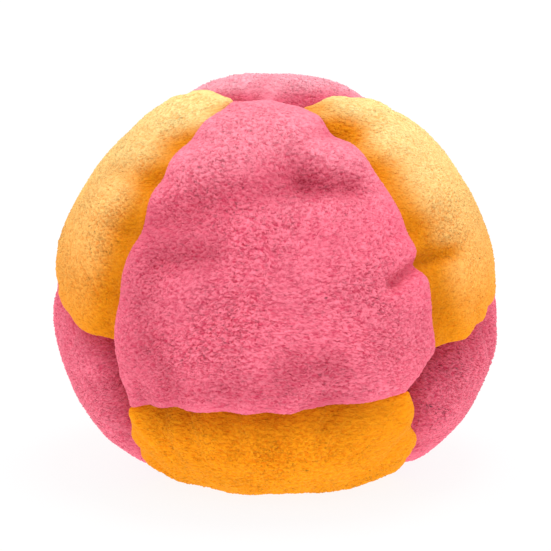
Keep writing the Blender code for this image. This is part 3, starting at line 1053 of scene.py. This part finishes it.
def make_panel(panel, material, sizes):
    piece = plain_object(f"{panel}_panel_suede", panel_cage(panel, sizes))
    _, panel_highlight = FULL_AND_HIGHLIGHT[panel]
    # The panel's share of painted highlight, which pales its upper parts as if lit from above
    highlight_mask = piece.data.attributes.new("highlight_mask", "FLOAT", "POINT")
    highlight_mask.data.foreach_set("value", [panel_highlight] * len(highlight_mask.data))
    blown_up(piece, sizes)
    smooth = piece.modifiers.new("cloth", "SUBSURF")
    smooth.levels = smooth.render_levels = SUBDIVISIONS
    nap_sizes = {
        "Ridge distance": sizes.nap_width,
        "Ridge height": sizes.nap_height,
        "Seed": LAP_ORDER.index(panel) * NAP_SEED_STEP,
    }
    add_tree_modifier(piece, nap_tree(material), nap_sizes)
    make_plain(piece)
    press_on_table(piece)
    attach(piece, BODY)
    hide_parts(f"{panel}_panel")


def make_panels(context, panels, dye, highlight_from):
    suede = suede_material(dye, context.scene.footbag_colours, highlight_from)
    for panel in panels:
        make_panel(panel, suede, context.scene.footbag_sizes)


class FOOTBAG_OT_large_panels(bpy.types.Operator):
    """Make the four large panels of pink suede"""

    bl_idname = "footbag.large_panels"
    bl_label = "Large panels"

    def execute(self, context):
        make_panels(context, LARGE_PANELS, "pink", PINK_HIGHLIGHT_FROM)
        return {"FINISHED"}


class FOOTBAG_OT_triangle_panels(bpy.types.Operator):
    """Make the four triangular panels of orange suede"""

    bl_idname = "footbag.triangle_panels"
    bl_label = "Triangular panels"

    def execute(self, context):
        make_panels(context, TRIANGLE_PANELS, "orange", ORANGE_HIGHLIGHT_FROM)
        return {"FINISHED"}


def thread_path(seam, sizes):
    """A running stitch that crosses the seam from side to side under its two rolled edges."""
    middle = panel_middle(seam[2])
    steps = stitch_count(seam, sizes) * THREAD_STEPS
    margin = THREAD_END / seam_length(seam, sizes)
    swing = SEAM_GAP / 2.0 + sizes.suede + sizes.thread_radius
    below = max(seam[2:4], key=LAP_ORDER.index)
    edges = panel_edges(below, sizes)
    shares = [margin + (1.0 - 2.0 * margin) * step / steps for step in range(steps + 1)]
    directions = [seam_direction(seam, share) for share in shares]
    lifts, _ = face_lifts(below, edges, directions, sizes)
    points = []
    for step, (share, direction, lift) in enumerate(zip(shares, directions, lifts)):
        wave = math.sin(math.pi * step / THREAD_STEPS)
        side = max(-1.0, min(1.0, THREAD_SQUARENESS * wave)) * swing
        turned = direction + seam_inward(seam, share, middle) * (side / sizes.ball_radius)
        depth = sizes.roll + sizes.allowance / 2.0 - lift
        points.append(surface_point(turned.normalized(), 0.0, depth, sizes))
    return points


def twisted_plies(points, radius):
    """Rings of two plies that wind round each other along a path."""
    mesh = bmesh.new()
    for ply in (0.0, math.pi):
        rings = []
        travelled = 0.0
        for at, point in enumerate(points):
            ahead = points[min(at + 1, len(points) - 1)]
            behind = points[max(at - 1, 0)]
            along = (ahead - behind).normalized()
            travelled += (point - points[at - 1]).length if at else 0.0
            across = along.cross(Vector((0.0, 0.0, 1.0)).cross(along)).normalized()
            over = along.cross(across)
            turn = ply + math.tau * travelled / (radius * PLY_TWIST)
            core = point + (across * math.cos(turn) + over * math.sin(turn)) * (radius / 2.0)
            ring = []
            for side in range(PLY_SIDES):
                angle = math.tau * side / PLY_SIDES
                spoke = across * math.cos(angle) + over * math.sin(angle)
                ring.append(mesh.verts.new(core + spoke * (radius / 2.0)))
            rings.append(ring)
        for first, second in zip(rings, rings[1:]):
            for side in range(PLY_SIDES):
                beside = (side + 1) % PLY_SIDES
                mesh.faces.new((first[side], first[beside], second[beside], second[side]))
        mesh.faces.new(list(reversed(rings[0])))
        mesh.faces.new(rings[-1])
    bmesh.ops.recalc_face_normals(mesh, faces=mesh.faces)
    for face in mesh.faces:
        face.smooth = True
    return mesh


class FOOTBAG_OT_threads(bpy.types.Operator):
    """Sew the eighteen seams with a two-ply waxed thread"""

    bl_idname = "footbag.threads"
    bl_label = "Threads"

    def execute(self, context):
        sizes = context.scene.footbag_sizes
        colours = context.scene.footbag_colours
        # Spun polyester drawn through wax, which gives it a dull, slightly uneven gleam
        waxed = mottled_material(
            "waxed_sewing_thread",
            colours.thread,
            colours.pink_root,
            spacing=0.15 * MM,
            roughness=0.55,
        )
        for seam in SEAMS:
            name = f"thread_{seam[2]}_to_{seam[3]}"
            mesh = twisted_plies(thread_path(seam, sizes), sizes.thread_radius)
            piece = plain_object(f"{name}_twist", mesh)
            piece.data.materials.append(waxed)
            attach(piece, BODY)
            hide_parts(name)
        return {"FINISHED"}


def bed_surface(sizes):
    """The surface on which the outermost pellets' middles lie, clear of the seams."""
    mesh = bmesh.new()
    bmesh.ops.create_icosphere(mesh, subdivisions=BED_SUBDIVISIONS, radius=1.0)
    mesh.verts.ensure_lookup_table()
    directions = np.array([vertex.co.normalized() for vertex in mesh.verts])
    middles = np.array([panel_middle(panel) for panel in LAP_ORDER])
    owners = (directions @ middles.T).argmax(axis=1)
    clear = sizes.suede + sizes.pellet_radius + SEAM_GAP
    seam_places = np.array(
        [seam_direction(seam, at / EDGE_SAMPLES) for seam in SEAMS for at in range(EDGE_SAMPLES)]
    )
    away = np.arccos(np.minimum((directions @ seam_places.T).max(axis=1), 1.0))
    groove = np.exp(-((away * sizes.ball_radius / (2.0 * sizes.pellet_radius)) ** 2))
    deep = sizes.roll + sizes.allowance + sizes.tuck
    for number, panel in enumerate(LAP_ORDER):
        mine = np.flatnonzero(owners == number)
        lifts, _ = face_lifts(panel, panel_edges(panel, sizes), directions[mine], sizes)
        for index, lift in zip(mine, lifts):
            depth = clear + deep * groove[index]
            vertex = mesh.verts[index]
            vertex.co = surface_point(Vector(directions[index]), lift, depth, sizes)
    return mesh


def pellet_tree(material):
    """Strews pellets over a surface so that they touch but don't crowd each other."""
    tree, given = geometry_tree("pellet_bed", ("Pellet radius",))
    radius = given["Pellet radius"]
    apart = add_node(tree, MATH, {"operation": "MULTIPLY"}, {0: radius, 1: PELLET_SPACING})
    strewn = add_node(
        tree,
        "GeometryNodeDistributePointsOnFaces",
        {"distribute_method": "POISSON"},
        {
            "Mesh": given["Geometry"],
            "Distance Min": apart,
            "Density Max": PELLETS_PER_SQUARE_METRE,
            "Seed": 7,
        },
    )
    pellet = add_node(
        tree, "GeometryNodeMeshIcoSphere", None, {"Radius": radius, "Subdivisions": 2}
    )
    turned, flattened = (
        add_node(tree, "FunctionNodeRandomValue", {"data_type": "FLOAT_VECTOR"}, inputs)
        for inputs in (
            {"Max": PELLET_TURN, "Seed": 3},
            {"Min": PELLET_LEAST, "Max": PELLET_MOST, "Seed": 5},
        )
    )
    placed = add_node(
        tree,
        "GeometryNodeInstanceOnPoints",
        None,
        {"Points": strewn, "Instance": pellet, "Rotation": turned, "Scale": flattened},
    )
    return end_tree(tree, placed, material)


class FOOTBAG_OT_pellets(bpy.types.Operator):
    """Fill the bag with a bed of plastic pellets"""

    bl_idname = "footbag.pellets"
    bl_label = "Pellets"

    def execute(self, context):
        sizes = context.scene.footbag_sizes
        colours = context.scene.footbag_colours
        # Extruded and cut, which leaves a smooth and faintly cloudy skin
        plastic = mottled_material(
            "polyethylene_pellets",
            colours.pellet,
            colours.pellet_cloud,
            spacing=2.0 * MM,
            roughness=0.4,
        )
        piece = plain_object("pellet_bed", bed_surface(sizes))
        add_tree_modifier(piece, pellet_tree(plastic), {"Pellet radius": sizes.pellet_radius})
        make_plain(piece)
        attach(piece, BODY)
        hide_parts("pellet_filling")
        return {"FINISHED"}


# The studio


def make_camera(sizes):
    data = bpy.data.cameras.new("camera")
    camera = bpy.data.objects.new("camera", data)
    bpy.context.scene.collection.objects.link(camera)
    frame_width = PHOTO_PIXELS / PIXELS_PER_METRE
    data.sensor_width = SENSOR_WIDTH_IN_MM
    data.lens = data.sensor_width * CAMERA_DISTANCE / frame_width
    data.clip_start = 0.01
    data.clip_end = 10.0
    middle = PHOTO_PIXELS / 2.0
    target = Vector((0.0, 0.0, sizes.centre_height))
    target += VIEW_RIGHT * ((middle - PHOTO_CENTRE[0]) / PIXELS_PER_METRE)
    target += VIEW_UP * ((PHOTO_CENTRE[1] - middle) / PIXELS_PER_METRE)
    camera.location = target + VIEW_AXIS * CAMERA_DISTANCE
    camera.rotation_euler = (math.pi / 2.0 - VIEW_ELEVATION, 0.0, 0.0)
    bpy.context.scene.camera = camera


def hang_softbox():
    data = bpy.data.lights.new("overhead_softbox", "AREA")
    data.size = SOFTBOX_SIZE
    data.energy = SOFTBOX_POWER
    lamp = bpy.data.objects.new("overhead_softbox", data)
    bpy.context.scene.collection.objects.link(lamp)
    lamp.location = SOFTBOX_PLACE
    lamp.rotation_euler = (SOFTBOX_AIM - SOFTBOX_PLACE).to_track_quat("-Z", "Y").to_euler()


def camera_mix(tree, seen, unseen):
    """Mixes in the plain white that the camera and mirrors see behind the object."""
    rays = add_node(tree, "ShaderNodeLightPath").outputs
    direct = rays["Is Camera Ray"]
    for kind in ("Is Glossy Ray", "Is Transmission Ray"):
        direct = add_node(tree, MATH, {"operation": "MAXIMUM"}, {0: direct, 1: rays[kind]})
    return add_node(tree, "ShaderNodeMixShader", None, {0: direct, 1: unseen, 2: seen})


def lay_floor():
    """Matt white paper, on which the object's faint shadow shows."""
    mesh = bmesh.new()
    bmesh.ops.create_grid(mesh, x_segments=1, y_segments=1, size=PAPER_SIZE)
    floor = plain_object("studio_floor", mesh)
    material = bpy.data.materials.new("white_paper_sweep")
    tree = emptied_tree(material)
    paper = add_node(tree, "ShaderNodeBsdfDiffuse", None, {"Color": PAPER_WHITE})
    white, bounced = (
        add_node(tree, "ShaderNodeEmission", None, {"Strength": strength})
        for strength in (1.0, FLOOR_BOUNCE)
    )
    lit = add_node(tree, "ShaderNodeMixShader", None, {0: PAPER_GLOW_SHARE, 1: paper, 2: white})
    result = camera_mix(tree, lit, bounced)
    add_node(tree, "ShaderNodeOutputMaterial", None, {"Surface": result})
    floor.data.materials.append(material)


def light_room():
    """A white room that throws a little less light from the viewer's side."""
    world = bpy.data.worlds.new("white_room")
    bpy.context.scene.world = world
    tree = emptied_tree(world)
    way = add_node(tree, "ShaderNodeTexCoord").outputs["Generated"]
    frontal = add_node(tree, VECTORS, {"operation": "DOT_PRODUCT"}, {0: way, 1: VIEW_AXIS})
    glow = add_node(
        tree, RANGE, {"interpolation_type": "SMOOTHSTEP"}, {"Value": frontal, **ROOM_GLOW}
    )
    room, seen = (
        add_node(tree, "ShaderNodeBackground", None, {"Color": WHITE, "Strength": strength})
        for strength in (glow, 1.0)
    )
    result = camera_mix(tree, seen, room)
    add_node(tree, "ShaderNodeOutputWorld", None, {"Surface": result})


class FOOTBAG_OT_studio(bpy.types.Operator):
    """Set up the white floor, the soft lights and the camera"""

    bl_idname = "footbag.studio"
    bl_label = "Studio"

    def execute(self, context):
        scene = context.scene
        scene.view_settings.view_transform = "Standard"
        lay_floor()
        light_room()
        hang_softbox()
        make_camera(scene.footbag_sizes)
        return {"FINISHED"}


class FOOTBAG_PT_sidebar(bpy.types.Panel):
    """Lists the footbag's pieces, sizes and colours"""

    bl_idname = "FOOTBAG_PT_sidebar"
    bl_label = "Footbag"
    bl_space_type = "VIEW_3D"
    bl_region_type = "UI"
    bl_category = "Footbag"

    def draw(self, context):
        column = self.layout.column()
        for step in STEPS:
            column.operator(step.bl_idname)
        for group in (context.scene.footbag_sizes, context.scene.footbag_colours):
            for name in group.__annotations__:
                column.prop(group, name)


STEPS = (
    FOOTBAG_OT_large_panels,
    FOOTBAG_OT_triangle_panels,
    FOOTBAG_OT_threads,
    FOOTBAG_OT_pellets,
    FOOTBAG_OT_studio,
)
CLASSES = (FootbagSizes, FootbagColours, *STEPS, FOOTBAG_PT_sidebar)


def register():
    for cls in CLASSES:
        bpy.utils.register_class(cls)
    bpy.types.Scene.footbag_sizes = bpy.props.PointerProperty(type=FootbagSizes)
    bpy.types.Scene.footbag_colours = bpy.props.PointerProperty(type=FootbagColours)


def unregister():
    del bpy.types.Scene.footbag_colours
    del bpy.types.Scene.footbag_sizes
    for cls in reversed(CLASSES):
        bpy.utils.unregister_class(cls)


def main():
    register()
    bpy.ops.footbag.large_panels()
    bpy.ops.footbag.triangle_panels()
    bpy.ops.footbag.threads()
    bpy.ops.footbag.pellets()
    bpy.ops.footbag.studio()


if __name__ == "__main__":
    main()
